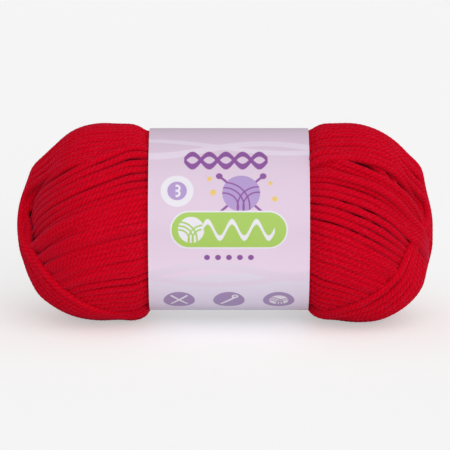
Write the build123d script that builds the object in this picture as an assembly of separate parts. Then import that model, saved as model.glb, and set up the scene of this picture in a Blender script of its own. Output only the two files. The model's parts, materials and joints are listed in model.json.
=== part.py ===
from build123d import *

import math
import os

import numpy as np

# An oblong ball of knitting yarn that lies on its side, with a printed paper band round its waist.
# X runs along the ball, Y from the front to the back, Z up. The origin is on the floor, under the
# middle of the ball. Lengths are in millimetres, angles in degrees.

# The yarn, and how closely it is wound
yarn_diameter = 2.4
turn_gap = 0.65
layer_gap = 0.4
core_gap = 0.35
tip_gap = 0.8

# The ball's outside, beside the band's own sizes below. It stands on a foot that is level as far each
# way from its lowest line as the foot angle, and cut flat there. Its crown has sunk a little.
ball_length = 140.0
lobe_swell = 1.6
lobe_distance = 10.7
floor_flat = 0.5
foot_half_angle = 11.0
crown_drop = 2.2

# How far round the waist each winding reaches. The side winding passes the front and the back of the
# ball, and 0 is straight ahead. The over and under windings pass its top and its foot, and 0 is upright.
side_low_angle = -43.0
side_high_angle = 54.8
over_half_angle = 30.5
under_half_angle = 74.0

# The side winding droops towards the ends, and the over winding fans out over the shoulders
side_droop_angle = 16.0
side_end_drop = 6.0
over_fan_share = 1.35

# The paper band, a strip closed by a glued lap at the back of the ball
band_width = 53.0
band_bore = 60.5
band_shift = 1.3
band_clearance = 0.3
edge_clearance = 1.0
paper_thickness = 0.25
lap_angle = -20.0
lap_length = 12.0
lap_ramp = 4.0
lap_gap = 0.3
glue_thickness = 0.12
glue_edge_inset = 2.5

# Worked out from the sizes above
yarn_radius = yarn_diameter / 2
turn_pitch = yarn_diameter + turn_gap
layer_step = yarn_diameter + layer_gap
band_radius = band_bore / 2
waist_radius = band_radius - band_clearance - yarn_radius
lobe_radius = band_radius + lobe_swell - yarn_radius
over_reach = ball_length / 2 - yarn_radius
edge_station = band_width / 2 + band_shift + edge_clearance
lobe_station = edge_station + lobe_distance
axis_height = lobe_radius + layer_step + yarn_radius - floor_flat

# A layer of turns: its centreline's radius at the waist and at the lobes, and its reach along X. The
# over winding keeps a tip gap more from the other two.
side_reach = over_reach - layer_step - tip_gap
under_layer = (waist_radius - layer_step, lobe_radius - layer_step, side_reach - layer_step)
side_layer = (waist_radius, lobe_radius, side_reach)
over_layer = (waist_radius, lobe_radius + layer_step, over_reach)
core_layer = tuple(size - yarn_radius - core_gap for size in under_layer)

# One turn's stops: where it is along the ball, and the face that it passes, -1 near and 1 far
TURN_STOPS = [
    ("middle", -1), ("edge", -1), ("lobe", -1), ("end", 1), ("lobe", 1), ("edge", 1),
    ("middle", 1), ("edge", 1), ("lobe", 1), ("end", -1), ("lobe", -1), ("edge", -1),
]


def end_place(run, layer):
    """Station and sideways place on a layer's end, run millimetres round from the tip, measured along
    the half ellipse from lobe to lobe."""
    turn = np.linspace(-math.pi / 2, math.pi / 2, 721)
    station = lobe_station + (layer[2] - lobe_station) * np.cos(turn)
    sideways = layer[1] * np.sin(turn)
    length = np.concatenate([[0], np.cumsum(np.hypot(np.diff(station), np.diff(sideways)))])
    length -= length[-1] / 2
    return float(np.interp(run, length, station)), float(np.interp(run, length, sideways))


def over_lobe(face, angle, here):
    """Radius of an over turn at its lobes: level where the ball stands, and sunk at the crown, most in
    the middle turns. The outer turns keep clear of the side winding."""
    if face < 0:
        return over_layer[1] / math.cos(min(abs(here), math.radians(foot_half_angle)))
    return over_layer[1] - crown_drop * (1 - (angle / math.radians(over_half_angle)) ** 2)


def stop_node(kind, face, way, angle, droop, fan, layer, lobe):
    """Place and heading of a stop on a face of the ball, as (along, across, sideways). The turn's angle
    round the ball fans out and droops with the square of its distance from the middle."""
    x = way * {"middle": 0.0, "edge": edge_station, "lobe": lobe_station}[kind]
    bend = angle * (fan - 1) - droop
    here = angle + bend * (x / lobe_station) ** 2
    radius = layer[0]
    if kind == "lobe":
        radius = lobe(face, angle, here) if lobe else layer[1]
    rate = 2 * bend * x / lobe_station**2
    place = Vector(x, face * radius * math.cos(here), radius * math.sin(here))
    heading = Vector(1, -face * radius * math.sin(here) * rate, radius * math.cos(here) * rate)
    return place, heading.normalized() * -face


def winding_nodes(low_angle, high_angle, layer, droop=0.0, end_drop=0.0, fan=1.0, lobe=None):
    """The stops of a whole winding, which steps one pitch round the waist with each turn."""
    pitch_angle = turn_pitch / layer[0]
    low, high = math.radians(low_angle), math.radians(high_angle)
    turns = int((high - low) / pitch_angle)
    nodes = []
    for count in range(12 * turns + 1):
        kind, face = TURN_STOPS[count % 12]
        way = 1 if count % 12 < 6 else -1
        turned = count / 12
        if kind == "end":
            station, sideways = end_place(turn_pitch * (turned - turns / 2) - end_drop, layer)
            nodes.append((Vector(way * station, 0, sideways), Vector(0, way, 0)))
        else:
            fans = fan if face > 0 else 1.0
            angle = low + pitch_angle * turned
            nodes.append(stop_node(kind, face, way, angle, math.radians(droop), fans, layer, lobe))
    return nodes


def arc_through(first, heading, last):
    """First, middle and last point of the arc that leaves first in the given heading."""
    chord = last - first
    along = chord.normalized()
    lean = heading - along * along.dot(heading)
    if lean.length < 1e-9:
        return [first, (first + last) * 0.5, last]
    rise = chord.length / 2 * math.tan(math.atan2(lean.length, along.dot(heading)) / 2)
    return [first, (first + last) * 0.5 + lean.normalized() * rise, last]


def biarc(start, leave, finish, arrive):
    """The two arcs that leave start and reach finish in the given headings, and meet smoothly."""
    gap = finish - start
    both = leave + arrive
    spread = 2 * (1 - leave.dot(arrive))
    if spread < 1e-9:
        reach = gap.dot(gap) / (2 * gap.dot(both))
    else:
        reach = (math.sqrt(gap.dot(both) ** 2 + spread * gap.dot(gap)) - gap.dot(both)) / spread
    joint = (start + leave * reach + finish - arrive * reach) * 0.5
    return [arc_through(start, leave, joint), arc_through(finish, -arrive, joint)[::-1]]


def winding_arcs(nodes, upright):
    """A winding as a list of arcs, with one straight diameter of yarn at each end, under the band. The
    turns lie in upright planes, or else they are level."""
    arcs = []
    for (start, leave), (finish, arrive) in zip(nodes, nodes[1:]):
        arcs += biarc(start, leave, finish, arrive)
    first, leave = nodes[0]
    last, arrive = nodes[-1]
    arcs.insert(0, arc_through(first - leave * yarn_diameter, leave, first))
    arcs.append(arc_through(last, arrive, last + arrive * yarn_diameter))

    def placed(p):
        return Vector(p.X, p.Z, p.Y + axis_height) if upright else Vector(p.X, p.Y, p.Z + axis_height)

    return [[placed(p) for p in arc] for arc in arcs]


def arc_edge(first, middle, last):
    """An edge through three points, straight where they are in line."""
    rise = (middle - (first + last) * 0.5).length
    if rise < (last - first).length * 1e-5:
        return Edge.make_line(first, last)
    return Edge.make_three_point_arc(first, middle, last)


def yarn_tube(arcs):
    """The yarn along its arcs, as one unbroken tube."""
    path = Wire([arc_edge(*arc) for arc in arcs])
    ring = Edge.make_circle(yarn_radius, Plane(origin=path @ 0, z_dir=path % 0))
    return Solid.sweep(Face(Wire([ring])), path)


def arc_samples(arcs):
    """Points along the arcs, at most a third of a yarn diameter apart, and how far along each one is."""
    points, runs, start = [], [], 0.0
    for first, middle, last in arcs:
        chord = last - first
        rise = middle - (first + last) * 0.5
        half = 2 * math.atan2(2 * rise.length, chord.length)
        length = chord.length * (half / math.sin(half) if half > 1e-6 else 1.0)
        share = np.linspace(-1, 1, int(3 * length / yarn_diameter) + 2)[:-1, None]
        along, up = np.array(tuple(chord)) / 2, np.array(tuple(rise))
        if half > 1e-6:
            sides = np.sin(share * half) / math.sin(half)
            lift = (np.cos(share * half) - math.cos(half)) / (1 - math.cos(half))
        else:
            sides, lift = share, 0 * share
        points.append(np.array(tuple((first + last) * 0.5)) + along * sides + up * lift)
        runs.append(start + length * (share[:, 0] + 1) / 2)
        start += length
    return np.concatenate(points), np.concatenate(runs), start


def least_gap(points, others, skip=None):
    """Least space between yarn at two sets of points. With skip, which holds how far along its path
    each point is, pairs less than four diameters apart along the path are left out."""
    least = math.inf
    for low in range(0, len(points), 400):
        part = points[low:low + 400]
        apart = np.linalg.norm(part[:, None] - others[None], axis=2)
        if skip is not None:
            apart[np.abs(skip[low:low + 400, None] - skip[None]) < 4 * yarn_diameter] = math.inf
        least = min(least, float(apart.min()))
    return least - yarn_diameter


def wound_core():
    """The inner layers as one plain body: a waist, a lobe at each side of it and an ellipse at each end."""
    waist, lobe, reach = core_layer
    half = [Edge.make_line(Vector(0, 0), Vector(0, waist))]
    half.append(Edge.make_line(Vector(0, waist), Vector(edge_station, waist)))
    rise = biarc(Vector(edge_station, waist), Vector(1, 0), Vector(lobe_station, lobe), Vector(1, 0))
    half += [arc_edge(*arc) for arc in rise]
    cap = Plane(origin=(lobe_station, 0))
    half.append(Edge.make_ellipse(reach - lobe_station, lobe, cap, 0, 90))
    half.append(Edge.make_line(Vector(reach, 0), Vector(0, 0)))
    body = revolve(Face(Wire(half)), Axis.X)
    return Pos(0, 0, axis_height) * (body + mirror(body, Plane.YZ))


def under_arcs():
    """The layer that shows between the outer turns."""
    return winding_arcs(winding_nodes(-under_half_angle, under_half_angle, under_layer), True)


def side_arcs():
    """The turns that cover the front and the back, and droop towards both ends."""
    nodes = winding_nodes(side_low_angle, side_high_angle, side_layer, side_droop_angle, side_end_drop)
    return winding_arcs(nodes, False)


def over_arcs():
    """The last turns, over the top, the ends and the foot of the ball."""
    nodes = winding_nodes(
        -over_half_angle, over_half_angle, over_layer, fan=over_fan_share, lobe=over_lobe
    )
    return winding_arcs(nodes, True)


def cut_at_floor(body):
    """A body cut flat where the ball stands."""
    return body - Pos(0, 0, -ball_length / 2) * Box(2 * ball_length, 2 * ball_length, ball_length)


def on_circle(radius, angle):
    """A point of the band's cross-section, as (y, z) round the band's axis."""
    return Vector(radius * math.cos(angle), radius * math.sin(angle))


def band_piece(outline, width):
    """A cross-section of the band, drawn as (y, z), carried along the band's width."""
    section = Face(Wire(outline))
    plane = Plane(origin=(band_shift - width / 2, 0, axis_height), x_dir=(0, 1, 0), z_dir=(1, 0, 0))
    return extrude(plane * section, width, dir=(1, 0, 0))


def ring_arc(radius, low, high):
    """An arc round the band's axis."""
    return Edge.make_three_point_arc(
        on_circle(radius, low), on_circle(radius, (low + high) / 2), on_circle(radius, high)
    )


# The band's lap: where the under flap begins, and where the over flap leaves the ring and ends
outer_radius = band_radius + paper_thickness
flap_radius = outer_radius + glue_thickness
lap_start = math.radians(lap_angle)
lap_end = lap_start + lap_length / outer_radius
ramp_end = lap_start - lap_gap / outer_radius + 2 * math.pi
ramp_start = ramp_end - lap_ramp / outer_radius
flap_end = lap_end + 2 * math.pi


def paper_band():
    """One strip of paper round the waist. Its last stretch steps up and lies over its first."""
    outline = []
    for rise in (0.0, paper_thickness):
        outline.append(ring_arc(band_radius + rise, lap_start, ramp_start))
        outline.append(Edge.make_line(
            on_circle(band_radius + rise, ramp_start), on_circle(flap_radius + rise, ramp_end)
        ))
        outline.append(ring_arc(flap_radius + rise, ramp_end, flap_end))
    outline.append(Edge.make_line(
        on_circle(band_radius, lap_start), on_circle(outer_radius, lap_start)
    ))
    outline.append(Edge.make_line(
        on_circle(flap_radius, flap_end), on_circle(flap_radius + paper_thickness, flap_end)
    ))
    return band_piece(outline, band_width)


def band_glue():
    """The film of glue inside the lap."""
    inset = glue_edge_inset / outer_radius
    low, high = lap_start + inset, lap_end - inset
    outline = [
        ring_arc(outer_radius, low, high),
        ring_arc(flap_radius, low, high),
        Edge.make_line(on_circle(outer_radius, low), on_circle(flap_radius, low)),
        Edge.make_line(on_circle(outer_radius, high), on_circle(flap_radius, high)),
    ]
    return band_piece(outline, band_width - 2 * glue_edge_inset)


def main():
    os.makedirs("parts", exist_ok=True)
    export_step(wound_core(), "parts/wound_core.step")
    windings = {"under_winding": under_arcs(), "side_winding": side_arcs(), "over_winding": over_arcs()}
    samples = {}
    for name, arcs in windings.items():
        export_step(cut_at_floor(yarn_tube(arcs)), f"parts/{name}.step")
        points, runs, length = arc_samples(arcs)
        samples[name] = points
        gap = least_gap(points, points, runs)
        print(f"{name}: {length:.0f} mm of yarn, least gap to itself {gap:.2f} mm")
    for inner, outer in (("under_winding", "side_winding"), ("side_winding", "over_winding")):
        print(f"{inner} to {outer}: least gap {least_gap(samples[inner], samples[outer]):.2f} mm")
    export_step(paper_band(), "parts/paper_band.step")
    export_step(band_glue(), "parts/band_glue.step")


main()
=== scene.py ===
import json
import math

import bpy
import numpy as np
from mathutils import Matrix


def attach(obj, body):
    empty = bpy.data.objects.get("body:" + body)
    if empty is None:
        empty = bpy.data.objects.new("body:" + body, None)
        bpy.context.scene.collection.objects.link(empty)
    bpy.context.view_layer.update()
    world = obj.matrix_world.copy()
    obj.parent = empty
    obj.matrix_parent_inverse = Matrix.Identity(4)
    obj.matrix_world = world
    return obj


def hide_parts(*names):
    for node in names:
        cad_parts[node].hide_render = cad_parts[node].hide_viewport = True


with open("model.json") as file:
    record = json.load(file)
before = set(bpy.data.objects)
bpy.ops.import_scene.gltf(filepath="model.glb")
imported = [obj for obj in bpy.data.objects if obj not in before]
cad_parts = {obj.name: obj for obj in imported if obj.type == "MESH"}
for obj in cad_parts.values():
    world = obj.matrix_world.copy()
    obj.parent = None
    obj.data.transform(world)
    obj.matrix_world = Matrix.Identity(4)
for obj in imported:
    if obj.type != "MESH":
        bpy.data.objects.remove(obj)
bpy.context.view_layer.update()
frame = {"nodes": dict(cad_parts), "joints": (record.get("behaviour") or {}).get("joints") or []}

# The wound core: the inner layers of a pull skein of soft red acrylic yarn, an oblong body with a waist
# where the band will hold it. It shows only deep between the turns wound over it. Sizes are in
# millimetres from the ball's long axis, X, until a mesh is made.
MM = 0.001
axis_y, axis_z = (c / MM for c in frame["joints"][0]["pos_m"][1:])
waist_radius = 27.1
lobe_radius = 29.8
band_left, band_right = -25.2, 27.8
level_past_band = 0.2
rise_length = 6.0
lobe_station = 39.5
body_reach = 62.5
core_inset = 2.6
core_outline_step = 12
core_sides = 96


def body_outline(inset):
    """Stations and radii of the body, inset by that much: a level waist, a cosine rise to each lobe and
    a quarter ellipse to each end."""
    x = np.linspace(-lobe_station, lobe_station, 800)
    past = np.maximum(band_left - x, x - band_right)
    rise = np.clip((past - level_past_band) / rise_length, 0, 1)
    r = waist_radius + (lobe_radius - waist_radius) * (1 - np.cos(math.pi * rise)) / 2
    turn = np.linspace(0, math.pi / 2, 700)[1:]
    cap_length = body_reach - inset - lobe_station
    cap_x = lobe_station + cap_length * np.sin(turn)
    cap = np.stack([cap_x, (lobe_radius - inset) * np.cos(turn)], axis=1)
    return np.concatenate([cap[::-1] * (-1, 1), np.stack([x, r - inset], axis=1), cap])


def revolved(outline, sides):
    """Verts and faces of an outline of stations and radii turned round the axis, with a closed face at
    both ends."""
    angle = np.linspace(0, 2 * math.pi, sides, endpoint=False)
    x, r = outline[:, 0], outline[:, 1]
    grid = np.stack(np.broadcast_arrays(
        x[:, None], -r[:, None] * np.cos(angle), r[:, None] * np.sin(angle)), axis=-1)
    ring, spot = np.meshgrid(np.arange(len(x) - 1), np.arange(sides), indexing="ij")
    ahead = (spot + 1) % sides
    quads = np.stack([ring * sides + spot, (ring + 1) * sides + spot,
                      (ring + 1) * sides + ahead, ring * sides + ahead], axis=-1)
    ends = [list(range(sides)), list(range((len(x) - 1) * sides, len(x) * sides))[::-1]]
    return grid.reshape(-1, 3), quads.reshape(-1, 4).tolist() + ends


def add_piece(name, body, material, verts, faces, slot):
    """A new piece, smooth all over, from points in millimetres round the ball's axis."""
    mesh = bpy.data.meshes.new(name)
    mesh.from_pydata((verts + (0, axis_y, axis_z)) * MM, [], faces)
    mesh.polygons.foreach_set("use_smooth", np.ones(len(mesh.polygons), dtype=bool))
    mesh.materials.append(material)
    piece = bpy.data.objects.new(name, mesh)
    bpy.context.scene.collection.objects.link(piece)
    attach(piece, body)
    return piece


class Value:
    """A number in a material's nodes. Each sum with it adds a Math node."""

    def __init__(self, tree, socket):
        self.tree, self.socket = tree, socket

    def math(self, operation, *numbers):
        node = self.tree.nodes.new("ShaderNodeMath")
        node.operation = operation
        for place, number in zip(node.inputs, numbers):
            if isinstance(number, Value):
                self.tree.links.new(number.socket, place)
            else:
                place.default_value = number
        return Value(self.tree, node.outputs[0])

    def __add__(self, other):
        return self.math("ADD", self, other)

    __radd__ = __add__

    def __sub__(self, other):
        return self.math("SUBTRACT", self, other)

    def __rsub__(self, other):
        return self.math("SUBTRACT", other, self)

    def __mul__(self, other):
        return self.math("MULTIPLY", self, other)

    __rmul__ = __mul__

    def __truediv__(self, other):
        return self.math("DIVIDE", self, other)

    def abs(self):
        return self.math("ABSOLUTE", self)

    def sin(self):
        return self.math("SINE", self)

    def cos(self):
        return self.math("COSINE", self)

    def sqrt(self):
        return self.math("SQRT", self)

    def fract(self):
        return self.math("FRACT", self)

    def least(self, other):
        return self.math("MINIMUM", self, other)

    def most(self, other):
        return self.math("MAXIMUM", self, other)

    def clamp(self):
        return self.most(0.0).least(1.0)


class Finish:
    """A material and its nodes. node() adds any node, and mix() blends two colours."""

    def __init__(self, name):
        self.material = bpy.data.materials.new(name)
        self.material.use_nodes = True
        self.tree = self.material.node_tree

    def node(self, kind, settings=None, **sockets):
        made = self.tree.nodes.new(kind)
        for key, value in (settings or {}).items():
            setattr(made, key, value)
        for key, value in sockets.items():
            self.put(made.inputs[key.replace("_", " ")], value)
        return made

    def surface(self, **sockets):
        """Gives sockets of the surface shader their numbers, colours or links."""
        for key, value in sockets.items():
            self.put(self.tree.nodes["Principled BSDF"].inputs[key.replace("_", " ")], value)

    def put(self, socket, value):
        if isinstance(value, Value):
            self.tree.links.new(value.socket, socket)
        elif isinstance(value, bpy.types.NodeSocket):
            self.tree.links.new(value, socket)
        else:
            socket.default_value = value

    def value(self, socket):
        return Value(self.tree, socket)

    def mix(self, share, low, high):
        made = self.node("ShaderNodeMix", {"data_type": "RGBA"})
        for place, given in ((made.inputs[0], share), (made.inputs[6], low), (made.inputs[7], high)):
            self.put(place, given)
        return made.outputs[2]

    def uv(self, name):
        """The two parts of the piece's own UV map of that name."""
        places = self.node("ShaderNodeUVMap", {"uv_map": name}).outputs[0]
        split = self.node("ShaderNodeSeparateXYZ", Vector=places)
        return self.value(split.outputs[0]), self.value(split.outputs[1])

    def noise(self, vector, **sockets):
        return self.value(self.node("ShaderNodeTexNoise", Vector=vector, **sockets).outputs[0])


def rgb(red, green, blue):
    """A colour of the given sRGB parts, 0 to 255, as linear light."""
    parts = [c / 255 for c in (red, green, blue)]
    return tuple(c / 12.92 if c <= 0.04045 else ((c + 0.055) / 1.055) ** 2.4 for c in parts) + (1.0,)


ply_count = 4
yarn_red = rgb(216, 0, 31)
# Painted shade for the valleys between the plies, then a painted highlight for the fibres' glints.
yarn_valley_shade = rgb(170, 0, 12)
yarn_glint = rgb(240, 48, 84)
crest_contrast, crest_base = 1.5, 0.25
fibres_round, fibres_along = 12.0, 1.3
fibre_level, fibre_contrast = 0.54, 6.5
patches_per_metre = 90.0
patch_base, patch_share = 0.25, 0.8
fibre_height = 0.0004


def yarn_finish():
    """Acrylic yarn, dyed deep red. Each ply is a ridge, and painted shade makes it a deeper red at its
    foot.
    Painted highlights, pale pink fibre glints, show where a noise drawn out along the strand is high, more
    of them in some patches, and the same noise roughens the surface. The sheen is the crimson bloom of a
    strand seen edge-on."""
    finish = Finish("red_yarn")
    around, along = finish.uv("strand")
    ply = (around * ply_count).fract() - 0.5
    crest = 1 - (ply * 2).abs()
    places = finish.node("ShaderNodeCombineXYZ", X=around * fibres_round, Y=along * fibres_along)
    fibre = finish.noise(places.outputs[0], Scale=1.3, Detail=3.0, Roughness=0.7)
    everywhere = finish.node("ShaderNodeTexCoord").outputs["Object"]
    patch = finish.noise(everywhere, Scale=patches_per_metre, Detail=2.0, Roughness=0.5)
    # Painted shade: a deeper red in the valleys between the plies, where shade falls, full red on their
    # crests.
    body = finish.mix((crest * crest_contrast + crest_base).clamp(), yarn_valley_shade, yarn_red)
    # Painted highlight: pale pink glints of the fibres where the drawn-out noise is high.
    light = ((fibre - fibre_level) * fibre_contrast).clamp() * (patch_base + patch_share * patch)
    bump = finish.node("ShaderNodeBump", Height=fibre, Strength=0.55, Distance=fibre_height)
    finish.surface(
        Base_Color=finish.mix(light, body, yarn_glint),
        Roughness=0.78 + 0.2 * fibre,
        Normal=bump.outputs[0],
        Specular_IOR_Level=0.04,
        Sheen_Weight=0.22,
        Sheen_Roughness=0.3,
        Sheen_Tint=(1.0, 0.2, 0.55, 1.0),
    )
    return finish.material


yarn = yarn_finish()
core_outline = body_outline(core_inset)[2:-2:core_outline_step]
core = add_piece("wound_core_body", "ball", yarn, *revolved(core_outline, core_sides), "yarn")
core.data.uv_layers.new(name="strand")
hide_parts("wound_core")

# The under turns: the last layer but one of the same yarn, a strand spun of four plies. It is wound in
# upright planes side by side, and shows only as darker yarn in the gaps between the outer turns.
strand_radius = 1.24
ply_turn = 6.4
ply_valley_share = 0.89
ply_bluntness = 0.8
points_per_ply = 3
strand_sides = ply_count * points_per_ply
sheet_columns = 16
seat_height = 1.0
lay_step = 1.1
ring_step = 0.5
uneven = 0.05
relax_rounds, relax_width = 6, 2.2
rest_width, even_width, path_width = 1.0, 1.2, 0.8
cap_swell = 5.0
edge_room, edge_clear, spring_slope = 0.3, 1.3, 1.5
fuller_parts = [
    (-43, -30, 12, 1.7),
    (47, -30, 14, 2.2),
    (-59, -20, 9, 3.6),
    (60, -20, 10, 5.2),
    (-52, 27, 8, 1.3),
    (54, 24, 9, 1.9),
    (-63, 13, 8, -1.6),
    (62, 9, 7, -1.2),
]


def seat(points, inset=0.0):
    """The nearest places on the body to some points, and its outward normals there. The nearest point
    of the outline is found, and then moved along the outline's tangent to be square to the point."""
    outline = body_outline(inset)
    tangent = np.gradient(outline, axis=0)
    tangent /= np.linalg.norm(tangent, axis=1, keepdims=True)
    round_axis = np.maximum(np.hypot(points[:, 1], points[:, 2]), 1e-6)
    flat = np.stack([points[:, 0], round_axis], axis=1)
    near = np.argmin(((flat[:, None] - outline[None]) ** 2).sum(axis=2), axis=1)
    along = np.clip(((flat - outline[near]) * tangent[near]).sum(axis=1), -0.1, 0.1)
    place = outline[near] + tangent[near] * along[:, None]
    turn = np.gradient(np.arctan2(tangent[:, 1], tangent[:, 0]))
    length = np.maximum(np.linalg.norm(np.gradient(outline, axis=0), axis=1), 1e-6)
    angle = np.arctan2(tangent[near, 1], tangent[near, 0]) + (turn / length)[near] * along
    side = points[:, 1:] / round_axis[:, None]
    normal = np.stack([-np.sin(angle), *(np.cos(angle) * side.T)], axis=1)
    return np.stack([place[:, 0], *(place[:, 1] * side.T)], axis=1), normal


def smooth(values, width):
    """A run of values, each made the mean of its neighbours under a bell curve of that width."""
    half = int(3 * width) + 1
    bell = np.exp(-0.5 * (np.arange(-half, half + 1) / width) ** 2)
    padded = np.concatenate([np.full(half, values[0]), values, np.full(half, values[-1])])
    return np.convolve(padded, bell / bell.sum(), mode="valid")


def follow(controls, step):
    """Points a step apart along the uniform cubic B-spline of some control points, and how many control
    points along each one is."""
    count = len(controls) - 3
    at = np.linspace(0, count, count * 24, endpoint=False)
    index, u = at.astype(int), (at % 1)[:, None]
    weights = ((1 - u) ** 3, 3 * u**3 - 6 * u**2 + 4, -3 * u**3 + 3 * u**2 + 3 * u + 1, u**3)
    points = sum(w * controls[index + i] for i, w in enumerate(weights)) / 6
    run = np.concatenate([[0], np.cumsum(np.linalg.norm(np.diff(points, axis=0), axis=1))])
    even = np.arange(0, run[-1], step)
    resampled = np.stack([np.interp(even, run, points[:, i]) for i in range(3)], axis=1)
    return resampled, np.interp(even, run, at)


def strand_tube(points, normals, runs):
    """Verts, faces and UV maps of a plied strand: rings of points that turn with the plies, each ring's
    radius a row of cosine ridges, with a closed face at both ends. One map runs round the strand and
    along it in millimetres, and the other lays the strand out in columns side by side, for a bake."""
    tangent = np.gradient(points, axis=0)
    tangent /= np.linalg.norm(tangent, axis=1, keepdims=True)
    up = normals - tangent * (normals * tangent).sum(axis=1, keepdims=True)
    up /= np.linalg.norm(up, axis=1, keepdims=True)
    side = np.cross(tangent, up)
    corner = np.arange(strand_sides) / strand_sides
    ridge = np.abs(np.cos(math.pi * corner * ply_count)) ** ply_bluntness
    radius = strand_radius * (ply_valley_share + (1 - ply_valley_share) * ridge)
    angle = 2 * math.pi * (corner[None] - runs[:, None] / ply_turn)
    rings = (
        points[:, None]
        + (np.cos(angle) * radius)[..., None] * up[:, None]
        + (np.sin(angle) * radius)[..., None] * side[:, None]
    )
    count = len(points)
    ring, spot = np.meshgrid(np.arange(count - 1), np.arange(strand_sides), indexing="ij")
    ahead = (spot + 1) % strand_sides
    quads = np.stack([ring * strand_sides + spot, ring * strand_sides + ahead,
                      (ring + 1) * strand_sides + ahead, (ring + 1) * strand_sides + spot], axis=-1)
    caps = [list(range(strand_sides))[::-1],
            list(range((count - 1) * strand_sides, count * strand_sides))]
    across = (spot[..., None] + (0, 1, 1, 0)) / strand_sides
    along = runs[ring][..., None] + (runs[ring + 1] - runs[ring])[..., None] * (0, 0, 1, 1)
    rows = math.ceil((count - 1) / sheet_columns)
    column = (ring // rows)[..., None] + across
    row = (ring % rows)[..., None] + (0, 0, 1, 1)
    maps = []
    for label, parts in (("strand", (across, along)), ("OFBake", (column / sheet_columns, row / rows))):
        quad_uvs = np.stack(parts, axis=-1).reshape(-1, 2)
        maps.append((label, np.concatenate([quad_uvs, np.zeros((2 * strand_sides, 2))])))
    return rings.reshape(-1, 3), quads.reshape(-1, 4).tolist() + caps, maps


def bed(places):
    """How much fuller or leaner the inner turns are than the round body. Each part is a bell of some
    spread and rise round a station and a height: both feet and the lower part of both ends have sagged."""
    fuller = np.zeros(len(places))
    for x, z, spread, rise in fuller_parts:
        square = (places[:, 0] - x) ** 2 + (places[:, 2] - z) ** 2
        fuller += rise * np.exp(-square / spread**2)
    return fuller


def headroom(places, end_reach):
    """How far a strand's centre can stand above its own seat at station x. The band holds it down, it
    springs up over the few millimetres beside the band, and the ends press it to the given reach."""
    x = places[:, 0]
    past = np.maximum(band_left - x, x - band_right)
    turn = np.linspace(0, math.pi / 2, 200)
    span = body_reach - lobe_station
    slope = np.stack([lobe_radius * np.sin(turn), span * np.cos(turn)])
    normal = slope / np.linalg.norm(slope, axis=0)
    room = normal[0] * (end_reach - body_reach) * np.sin(turn) + normal[1] * cap_swell * np.cos(turn)
    end_room = np.interp(np.abs(x), lobe_station + span * np.sin(turn), room)
    beside_band = edge_room + np.maximum(past - edge_clear, 0) * spring_slope
    return np.minimum(beside_band, end_room + bed(places))


class Winding:
    """One unbroken strand wound in turns over a net of guide loops, from the first to the last. Its
    control points lie between two loops of the net, in the share of the turns wound so far, and stray a
    little from there."""

    def __init__(self, net, turns, end_reach, seed, wander):
        draw = np.random.default_rng(seed)
        loops = net.shape[1]
        count = np.arange(turns * loops + 3)
        stray = np.interp(count / loops, np.arange(turns + 1), draw.normal(0, uneven, turns + 1))
        t = np.clip(((count - 1) / loops + stray) / turns, 0, 1) * (len(net) - 1)
        low = np.minimum(t.astype(int), len(net) - 2)
        share = (t - low)[:, None]
        spot = (count - 1) % loops
        controls = net[low, spot] * (1 - share) + net[low + 1, spot] * share
        controls = controls + draw.normal(0, wander, controls.shape)
        points, at = follow(controls, lay_step)
        self.places, self.normals = seat(points)
        self.turned = at / loops
        self.turns = turns
        self.end_reach = end_reach - seat_height
        self.heights = np.zeros(len(self.places))
        self.laid = np.zeros(len(self.places), dtype=bool)

    def lay(self, pile, stride, part=True):
        """Lays that part of the strand on the pile, its turns taken a stride apart, so that crowded
        neighbours share two or three levels. What is laid already stays."""
        part = ~self.laid & part
        for first in range(self.turns):
            turn = (first * stride) % self.turns
            now = np.flatnonzero(part & (self.turned.astype(int) == turn))
            if len(now) == 0:
                continue
            need = pile.need(self.places[now])
            height = need
            for _ in range(relax_rounds):
                height = np.maximum(need, smooth(height, relax_width))
            room = headroom(self.places[now], self.end_reach)
            height = np.minimum(smooth(height, rest_width), room)
            self.heights[now] = height
            pile.keep(self.places[now], height)
        self.laid |= part

    def add_pieces(self, name, pieces, node):
        """Makes the meshes, several whole turns in each, with no point below the floor."""
        room = headroom(self.places, self.end_reach)
        height = np.minimum(smooth(self.heights, even_width), room)
        centre = self.places + self.normals * (height + seat_height)[:, None]
        run = np.concatenate([[0], np.cumsum(np.linalg.norm(np.diff(centre, axis=0), axis=1))])
        fine = np.arange(0, run[-1], ring_step)
        path = [smooth(centre[:, i], path_width) for i in range(3)]
        points = np.stack([np.interp(fine, run, part) for part in path], axis=1)
        normals = np.stack([np.interp(fine, run, part) for part in self.normals.T], axis=1)
        turned = np.interp(fine, run, self.turned)
        for piece in range(pieces):
            low = self.turns * piece // pieces
            high = self.turns * (piece + 1) // pieces
            part = (turned >= low) & (turned <= high)
            verts, faces, maps = strand_tube(points[part], normals[part], fine[part])
            verts[:, 2] = np.maximum(verts[:, 2], -axis_z)
            made = add_piece(f"{name}_{piece + 1}", "ball", yarn, verts, faces, "yarn")
            for label, uvs in maps:
                made.data.uv_layers.new(name=label).data.foreach_set("uv", uvs.ravel())
            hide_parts(node)


under_turns = 23
under_angle = math.radians(72)
under_inset = 1.6
upright_radius = 30.0
upright_stations = [
    (0, 1), (-26, 1), (-40, 1), (-52, 0.8), (-60, 0.5), (-66, 0.0), (-60, -0.5), (-52, -0.8), (-40, -1),
    (-26, -1), (0, -1), (26, -1), (40, -1), (52, -0.8), (60, -0.5), (66, 0.0), (60, 0.5), (52, 0.8),
    (40, 1), (26, 1),
]


def upright_loop(angle):
    """A guide loop in an upright plane, at that angle round the waist from the top. Its ends are drawn
    in as the cosine of the angle falls."""
    x, turn = np.array(upright_stations).T
    drawn_in = np.where(np.abs(turn) == 1, 1, 0.45 + 0.55 * math.cos(angle))
    y = np.full(len(x), -upright_radius * math.sin(angle))
    return np.stack([x * drawn_in, y, upright_radius * math.cos(angle) * turn], axis=1)


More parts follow.
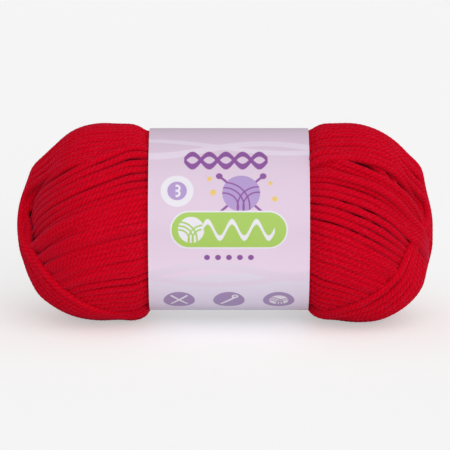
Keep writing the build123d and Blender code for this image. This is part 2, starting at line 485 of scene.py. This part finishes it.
under_net = np.array([upright_loop(angle) for angle in np.linspace(-under_angle, under_angle, 7)])
under = Winding(under_net, under_turns, end_reach=66.0, seed=5, wander=0.1)
under.heights = bed(under.places)
under.places, under.normals = seat(under.places, under_inset)
under.add_pieces("under_turns", 3, "under_winding")

# The side turns: the yarn wound lengthwise over the front and the back of the ball. They rise towards
# the band, droop to both ends and gather below the tips. The guide rows below give a station and a
# height on the front of the ball, from one tip to the other.
side_turns = 27
guide_outset = 2.4
side_front = [
    [(-68.5, -8, 1), (-67.5, 6), (-57, 15.3), (-42.5, 23.4), (-26, 27.2), (0, 28.6), (28, 25.8),
     (42, 22), (54, 16), (64, 4), (68.5, -8, 1)],
    [(-66.5, -13, 1), (-60, -2.5), (-54, 4), (-42.5, 10), (-26, 14.6), (0, 17.5), (28, 18.5),
     (42, 16.6), (53, 11.8), (61.6, 0), (66.5, -13, 1)],
    [(-63, -19, 1), (-58.5, -11), (-52.2, -5.6), (-42.5, -1.5), (-26, 2.7), (0, 4), (28, 3.5), (41, -1),
     (51, -7), (57.5, -13), (63, -19, 1)],
    [(-57, -25.5, 1), (-55, -20), (-50, -16.5), (-42.5, -14), (-26, -11.5), (0, -10.5), (28, -11),
     (41, -15.5), (49, -18.5), (54, -22), (57, -25.5, 1)],
    [(-48, -30.5, 1), (-47.5, -28.5), (-44, -27.5), (-38, -27.2), (-26, -26), (0, -25.5), (28, -26),
     (38, -27.2), (44, -27.5), (47.5, -28.5), (48, -30.5, 1)],
]
guide_outline = body_outline(-guide_outset)
guide_half = guide_outline[len(guide_outline) // 2:]


def on_surface(x, z, edge=0):
    """A guide point that is seen at station x and height z on the front of the ball, or with edge 1 on
    its outline, where y is 0."""
    r = np.interp(abs(x), guide_half[:, 0], guide_half[:, 1])
    y = -math.sqrt(max(r * r - z * z, 0.0)) * (1 - edge)
    return (x, y, z)


def turned_about(points):
    """The same points on the other side of the ball, turned half round an upright line."""
    return points * (-1, -1, 1)


def side_net():
    """Guide loops of the side turns, from half way along the back, past the left end, along the front
    and past the right end. The back repeats the front."""
    loops = []
    for row in side_front:
        front = np.array([on_surface(*point) for point in row])
        back = turned_about(front)[1:-1]
        middle = len(back) // 2
        loops.append(np.concatenate([back[middle:], front, back[:middle]]))
    return np.array(loops)


side = Winding(side_net(), side_turns, end_reach=67.0, seed=11, wander=0.14)

# The over turns: the last ones wound. They pass over the top, down past both tips and under the foot of
# the ball, and the front ones lean forward below the tips, over the side turns. Both sets are laid here,
# because each crosses over the other somewhere.
over_turns = 19
side_stride, over_stride = 10, 7
soft_diameter = 1.6
end_squeeze, squeezed_from, squeezed_to = 0.25, 46, 60
crown_height = 4
knot_middle, knot_half = 0.26, 0.08
over_front = [
    (0, 24), (-26, 25), (-40, 24.5), (-51, 21.5), (-59, 16), (-64.5, 9), (-66.5, 1.5), (-62.8, -4.7),
    (-58, -11), (-53.6, -16.2), (-48, -21.5), (-39.8, -26), (-26, -28.5), (0, -28.8), (28, -28.3),
    (36.4, -24.8), (43.8, -21.1), (51.2, -14.4), (57.6, -7.9), (62.5, -1), (64.8, 4.5), (62.2, 10.5),
    (56.5, 17), (46, 22.5), (35, 21.8), (27, 19.5),
]
over_middle = [
    (0, 30), (-26, 30.5), (-40, 32.2), (-51, 30), (-59.5, 24.5), (-65.5, 16), (-69, 5), (-69, -5),
    (-66, -14), (-61, -22), (-53, -28.5), (-41, -32.5), (-26, -31), (0, -30),
]


def over_net():
    """Guide loops of the over turns: the front one, the upright one in the middle and the back one,
    which repeats the front."""
    front = np.array([on_surface(*point) for point in over_front])
    left = np.array([on_surface(*point, 1) for point in over_middle])
    middle = np.concatenate([left, left[-2:0:-1] * (-1, 1, 1)])
    back = np.concatenate([turned_about(front)[:1], turned_about(front)[:0:-1]])
    return np.array([front, middle, back])


def ease(value, low, high):
    """0 up to low, 1 from high, and a smooth rise between them."""
    share = np.clip((value - low) / (high - low), 0, 1)
    return share * share * (3 - 2 * share)


class Pile:
    """The strands laid so far, as places on the body and heights above it. A new strand rests on those
    that it crosses: its centre keeps one soft diameter from theirs, and less where they are squeezed at
    the ends."""

    def __init__(self):
        self.places = np.zeros((0, 3), dtype=np.float32)
        self.heights = np.zeros(0, dtype=np.float32)

    def need(self, places):
        """The height that a strand needs at each place."""
        need = bed(places)
        if len(self.places):
            square = ((places[:, None].astype(np.float32) - self.places[None]) ** 2).sum(axis=2)
            squeeze = end_squeeze * ease(np.abs(places[:, 0]), squeezed_from, squeezed_to)
            soft = (soft_diameter - squeeze)[:, None] ** 2
            lift = np.where(square < soft, np.sqrt(np.maximum(soft - square, 0)) + self.heights, 0)
            need = np.maximum(lift.max(axis=1), need)
        return need

    def keep(self, places, heights):
        self.places = np.concatenate([self.places, places.astype(np.float32)])
        self.heights = np.concatenate([self.heights, heights.astype(np.float32)])


over = Winding(over_net(), over_turns, end_reach=68.6, seed=23, wander=0.16)
over_crown = (over.places[:, 2] > crown_height) & (over.places[:, 0] * over.places[:, 1] > 0)
# The crown, up on the left in front and up on the right at the back, goes under the side turns. The knot,
# a part of five side turns on the other side of the band, goes over the over turns.
side_knot = np.abs(side.turned / side_turns - knot_middle) < knot_half
side_knot &= side.places[:, 0] * side.places[:, 1] < 0
pile = Pile()
over.lay(pile, over_stride, over_crown)
side.lay(pile, side_stride, ~side_knot)
over.lay(pile, over_stride)
side.lay(pile, side_stride)
side.add_pieces("side_turns", 5, "side_winding")
over.add_pieces("over_turns", 4, "over_winding")

# The paper band: one strip of coated paper, printed, wrapped round the waist and closed by a glued lap
# at the back. The print is measured in millimetres across the band and up it, from the spot that the
# photograph looks straight at.
band_width = 53.0
band_radius = 30.25
paper_thickness = 0.25
glue_thickness = 0.12
lap_start = math.radians(-20)
lap_length = 12.0
lap_ramp = 4.0
lap_gap = 0.3
outer_radius = band_radius + paper_thickness
strip_angle = 2 * math.pi + lap_length / outer_radius
camera_elevation = math.radians(11)
plain_spot = (0.5, 0.98)
paper_edge_angle = math.radians(40)

paper_pink = rgb(230, 208, 229)
# The next two colours paint light on the band's lower part; the second is also the foot's bluish print.
paper_painted_light = rgb(246, 226, 246)
paper_blue_and_painted_light = rgb(238, 230, 247)
wave_pale = rgb(239, 224, 243)
print_purple = rgb(144, 81, 161)
print_lilac = rgb(184, 156, 212)
print_dull = rgb(168, 143, 189)
print_green = rgb(172, 209, 94)
print_white = rgb(240, 236, 244)
print_yellow = rgb(240, 205, 110)

yarn_ball = (4.0, 8.6)
needle_knobs = (-3.2, 11.2)
needle_top, needle_foot = 14.6, 2.0
specks = ((-6.4, 13.6, 0.8), (-5.2, 8.8, 1.0), (13.6, 12.0, 0.7), (15.0, 6.6, 0.9))
number_place = (-17.0, 9.4)
plate_height = -3.6
dots_height = -13.0
dot_pitch = 3.6
badge_height = -33.0
badge_places = (-16.5, 0.0, 16.5)


class Print:
    """Flat shapes on the paper, painted one over the other. A shape is a share, 1 inside it and 0
    outside, worked out from the distance to its edge."""

    blur = 0.22

    def __init__(self, finish):
        across, along = finish.uv("print")
        self.finish = finish
        self.x = (across - 0.5) * band_width
        self.y = (math.pi - lap_start - camera_elevation - along * strip_angle) * outer_radius
        self.colour = paper_pink

    def paint(self, colour, share):
        self.colour = self.finish.mix(share, self.colour, colour)

    def inside(self, distance):
        return (0.5 - distance / self.blur).clamp()

    def away(self, x, y):
        """The length of a step across the band and up it."""
        return (x * x + y * y).sqrt()

    def disc(self, x, y, radius):
        return self.inside(self.away(self.x - x, self.y - y) - radius)

    def ring(self, x, y, radius, width):
        """A circle drawn with a line of that width."""
        return self.inside((self.away(self.x - x, self.y - y) - radius).abs() - width / 2)

    def stroke(self, start, end, width):
        """A straight stroke with round ends."""
        right, up = end[0] - start[0], end[1] - start[1]
        x, y = self.x - start[0], self.y - start[1]
        share = ((x * right + y * up) / (right * right + up * up)).clamp()
        return self.inside(self.away(x - share * right, y - share * up) - width / 2)

    def pill(self, x, y, length, height):
        """A level bar with round ends."""
        past = ((self.x - x).abs() - (length - height) / 2).most(0.0)
        return self.inside(self.away(past, self.y - y) - height / 2)

    def wave(self, y, rise, length, phase, width):
        """A level line that rises and falls as a sine, with soft edges."""
        middle = (self.x * (2 * math.pi / length) + phase).sin() * rise + y
        return self.inside(((self.y - middle).abs() - width / 2) * 0.5)

    def between(self, left, right):
        """1 from one place across the band to another."""
        return self.inside((self.x - (left + right) / 2).abs() - (right - left) / 2)


def paint_ground(sheet):
    """The paper's own pink, with painted light over its lower part: paler below the middle, where less
    light reaches the band's lower front, and bluish towards the foot, a tint of the print painted paler
    too. A few pale wavy lines are print."""
    # Painted light: the ground is painted paler below the middle, standing in for light on the band's
    # lower front.
    sheet.paint(paper_painted_light, ((-5.0 - sheet.y) / 12.0).clamp())
    foot = (sheet.x * 0.07 + 1.0).sin() * 1.6 - 19.5
    # The bluish foot is the print's own tint, painted paler than it is to stand in for light there.
    sheet.paint(paper_blue_and_painted_light, ((foot - sheet.y) * 0.5).clamp())
    for y, rise, length, phase, width in ((26.0, 3.2, 74.0, 0.6, 3.0), (27.5, 3.4, 96.0, 3.4, 2.2),
                                          (-18.5, 2.6, 62.0, 2.2, 3.0), (-21.0, 3.0, 88.0, 5.0, 2.2)):
        sheet.paint(wave_pale, sheet.wave(y, rise, length, phase, width))


def paint_cable(sheet, middle, y, length, rise, pitch):
    """A knitted cable: two cords that cross and cross again, as a cosine and its mirror image."""
    swing = ((sheet.x - middle) * (2 * math.pi / pitch)).cos() * rise
    near = (sheet.y - y - swing).abs().least((sheet.y - y + swing).abs())
    cords = sheet.inside(near * 0.66 - 0.78)
    sheet.paint(print_purple, cords * sheet.between(middle - length / 2, middle + length / 2))


def paint_ball(sheet, x, y, radius, colour, line, width):
    """A ball of yarn, with two sets of turns that cross, as rings round two places below its middle."""
    body = sheet.disc(x, y, radius)
    sheet.paint(colour, body)
    for side_sign, sizes in ((-1, (0.75, 1.05, 1.35)), (1, (0.8, 1.1))):
        for size in sizes:
            turn = sheet.ring(x + side_sign * radius * 0.9, y - radius * 0.75, size * radius, width)
            sheet.paint(line, body * turn)


def paint_thread(sheet, start, end, y, rise, pitch, width):
    """A thread that waves from one place across the band to another, as a sine."""
    swing = ((sheet.x - start) * (2 * math.pi / pitch)).sin() * rise + y
    line = sheet.inside((sheet.y - swing).abs() * 0.6 - width / 2)
    sheet.paint(print_white, line * sheet.between(start, end))


def paint_three(sheet, x, y, size):
    """The number 3, as two rings that are open to the left."""
    half, width = size / 4, size * 0.2
    rings = sheet.ring(x, y + half, half, width).most(sheet.ring(x, y - half, half, width))
    sheet.paint(print_white, rings * sheet.inside(x - half * 0.45 - sheet.x))


def paint_badges(sheet):
    """Three discs along the foot: crossed needles, a hook and a small ball of yarn."""
    for x in badge_places:
        sheet.paint(print_dull, sheet.disc(x, badge_height, 5.2))
    for start, end, width in (((-19.0, -35.5), (-14.0, -30.0), 0.8), ((-14.0, -35.5), (-19.0, -30.0), 0.8),
                              ((-2.4, -35.5), (2.0, -31.0), 0.9)):
        sheet.paint(print_white, sheet.stroke(start, end, width))
    sheet.paint(print_white, sheet.ring(2.0, -30.4, 0.8, 0.6))
    paint_ball(sheet, badge_places[2], badge_height, 3.2, print_white, print_dull, 0.45)


def band_finish():
    """Coated paper with a print of plain motifs, painted in the order in which they lie."""
    finish = Finish("printed_paper")
    sheet = Print(finish)
    paint_ground(sheet)
    paint_cable(sheet, middle=-1.0, y=21.0, length=27.5, rise=2.7, pitch=11.0)
    for knob in needle_knobs:
        sheet.paint(print_purple, sheet.disc(knob, needle_top, 1.1))
        foot = (2 * yarn_ball[0] - knob, needle_foot)
        sheet.paint(print_purple, sheet.stroke((knob, needle_top), foot, 0.8))
    paint_ball(sheet, *yarn_ball, radius=6.2, colour=print_lilac, line=print_purple, width=0.5)
    for x, y, radius in specks:
        sheet.paint(print_yellow, sheet.disc(x, y, radius))
    sheet.paint(print_white, sheet.disc(*number_place, 5.4))
    sheet.paint(print_lilac, sheet.disc(*number_place, 3.2))
    paint_three(sheet, number_place[0] - 0.1, number_place[1], size=3.6)
    sheet.paint(print_white, sheet.pill(0.0, plate_height, length=38.6, height=12.6))
    sheet.paint(print_green, sheet.pill(0.0, plate_height, length=37.6, height=11.6))
    paint_ball(sheet, -12.4, plate_height, radius=4.3, colour=print_white, line=print_green, width=0.55)
    paint_thread(sheet, start=-9.0, end=15.0, y=plate_height, rise=2.7, pitch=8.0, width=1.1)
    past_dot = ((sheet.x / dot_pitch + 0.5).fract() - 0.5) * dot_pitch
    dots = sheet.inside(sheet.away(past_dot, sheet.y - dots_height) - 0.95)
    sheet.paint(print_purple, dots * sheet.between(-9.0, 9.0))
    paint_badges(sheet)
    finish.surface(Base_Color=sheet.colour, Roughness=0.5)
    return finish.material


def band_strip():
    """The strip's cross-section, carried along its width. It is level, climbs over the ramp by a
    thickness and the glue, and is level again on the lap. Only its outside has the print's UVs."""
    lap_end = lap_start + lap_length / outer_radius
    ramp_end = lap_start - lap_gap / outer_radius + 2 * math.pi
    ramp_start = ramp_end - lap_ramp / outer_radius
    share = np.linspace(0, 1, 361)
    angle = lap_start + share * (lap_end + 2 * math.pi - lap_start)
    climb = np.clip((angle - ramp_start) / (ramp_end - ramp_start), 0, 1)
    inner = band_radius + (paper_thickness + glue_thickness) * climb
    radius = np.concatenate([inner + paper_thickness, inner[::-1]])
    turn = np.concatenate([angle, angle[::-1]])
    across = np.linspace(0, 1, 9)
    count, steps = len(turn), len(across)
    x = band_left + across * band_width
    verts = np.stack(np.broadcast_arrays(
        x[:, None], radius * np.cos(turn), radius * np.sin(turn)), axis=-1)
    row, spot = np.meshgrid(np.arange(steps - 1), np.arange(count), indexing="ij")
    ahead = (spot + 1) % count
    quads = np.stack([row * count + spot, row * count + ahead,
                      (row + 1) * count + ahead, (row + 1) * count + spot], axis=-1).reshape(-1, 4)
    near = np.arange(len(share) - 1)
    rim = np.stack([near, count - 1 - near, count - 2 - near, near + 1], axis=1)
    faces = np.concatenate([quads, rim, rim[:, ::-1] + (steps - 1) * count])
    uvs = np.broadcast_to(plain_spot, (len(faces), 4, 2)).copy()
    outside = (spot < len(share) - 1).ravel()
    right = across[row][..., None] + (across[1] - across[0]) * np.array((0, 0, 1, 1))
    round_strip = share[np.minimum(spot, len(share) - 2)][..., None] + share[1] * np.array((0, 1, 1, 0))
    printed = np.stack([right, round_strip], axis=-1).reshape(-1, 4, 2)
    uvs[:len(quads)][outside] = printed[outside]
    return verts.reshape(-1, 3), faces.tolist(), uvs.reshape(-1, 2)


verts, faces, uvs = band_strip()
band = add_piece("printed_band", "band", band_finish(), verts, faces, "band_paper")
band.data.uv_layers.new(name="print").data.foreach_set("uv", uvs.ravel())
band.data.set_sharp_from_angle(angle=paper_edge_angle)
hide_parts("paper_band")

# The glue in the band's lap: a thin film that has dried clear and a little yellow, spread on the strip
# before it was wrapped. The lap hides it, so the solid's own shape is kept.
glue = Finish("clear_glue")
glue.surface(Base_Color=rgb(225, 220, 200))
frame["nodes"]["band_glue"].data.materials.clear()
frame["nodes"]["band_glue"].data.materials.append(glue.material)

# The setting: a plain pale floor, soft light from the front and all round, and the photograph's view.
# The floor is a pale grey, and for the camera and in reflections it adds an even light of its own, so
# that it looks white where no shadow falls.
floor_reach = 6.0
floor_seen = rgb(214, 214, 214)
floor_unseen = rgb(242, 242, 242)
floor_lift = 0.45
room_light = 0.45


def floor_finish():
    """A matt pale grey, which adds the even light for the rays that show it, and is paler for the light
    that it throws back on the ball."""
    finish = Finish("plain_floor")
    ray = finish.node("ShaderNodeLightPath").outputs
    seen = finish.value(ray["Is Camera Ray"]) + finish.value(ray["Is Glossy Ray"])
    seen = (seen + finish.value(ray["Is Transmission Ray"])).clamp()
    lift = (floor_lift, floor_lift, floor_lift, 1.0)
    finish.surface(
        Base_Color=finish.mix(seen, floor_unseen, floor_seen),
        Emission_Color=finish.mix(seen, (0.0, 0.0, 0.0, 1.0), lift),
        Emission_Strength=1.0,
        Roughness=1.0,
        Specular_IOR_Level=0.0,
    )
    return finish.material


corners = np.array([(-1, -1, 0), (1, -1, 0), (1, 1, 0), (-1, 1, 0)]) * floor_reach
floor_mesh = bpy.data.meshes.new("floor")
floor_mesh.from_pydata(corners, [], [(0, 1, 2, 3)])
floor_mesh.materials.append(floor_finish())
floor = bpy.data.objects.new("floor", floor_mesh)
bpy.context.scene.collection.objects.link(floor)

world = bpy.data.worlds.new("soft_room")
world.use_nodes = True
world.node_tree.nodes["Background"].inputs["Color"].default_value = (1, 1, 1, 1)
world.node_tree.nodes["Background"].inputs["Strength"].default_value = room_light
bpy.context.scene.world = world


def add_softbox(name, azimuth, elevation, strength, spread):
    """A wide lamp far away, at degrees round to the right of the front and up from the floor."""
    lamp = bpy.data.lights.new(name, "SUN")
    lamp.energy = strength
    lamp.angle = math.radians(spread)
    holder = bpy.data.objects.new(name, lamp)
    holder.rotation_euler = (math.radians(90 - elevation), 0, math.radians(azimuth))
    bpy.context.scene.collection.objects.link(holder)


add_softbox("front_softbox", azimuth=18, elevation=4, strength=1.6, spread=50)
add_softbox("top_softbox", azimuth=22, elevation=56, strength=0.65, spread=60)

camera_distance = 1.2
sensor_width = 36.0
picture_pixels = 450
mm_per_pixel = 0.3357
axis_row = 219
camera = bpy.data.cameras.new("camera")
camera.sensor_width = sensor_width
camera.lens = sensor_width * camera_distance / (picture_pixels * mm_per_pixel * MM)
camera.shift_y = (axis_row - picture_pixels / 2) / picture_pixels
viewer = bpy.data.objects.new("camera", camera)
viewer.location = (0, -camera_distance * math.cos(camera_elevation),
                   axis_z * MM + camera_distance * math.sin(camera_elevation))
viewer.rotation_euler = (math.radians(90) - camera_elevation, 0, 0)
bpy.context.scene.collection.objects.link(viewer)
bpy.context.scene.camera = viewer
bpy.context.scene.view_settings.view_transform = "Standard"
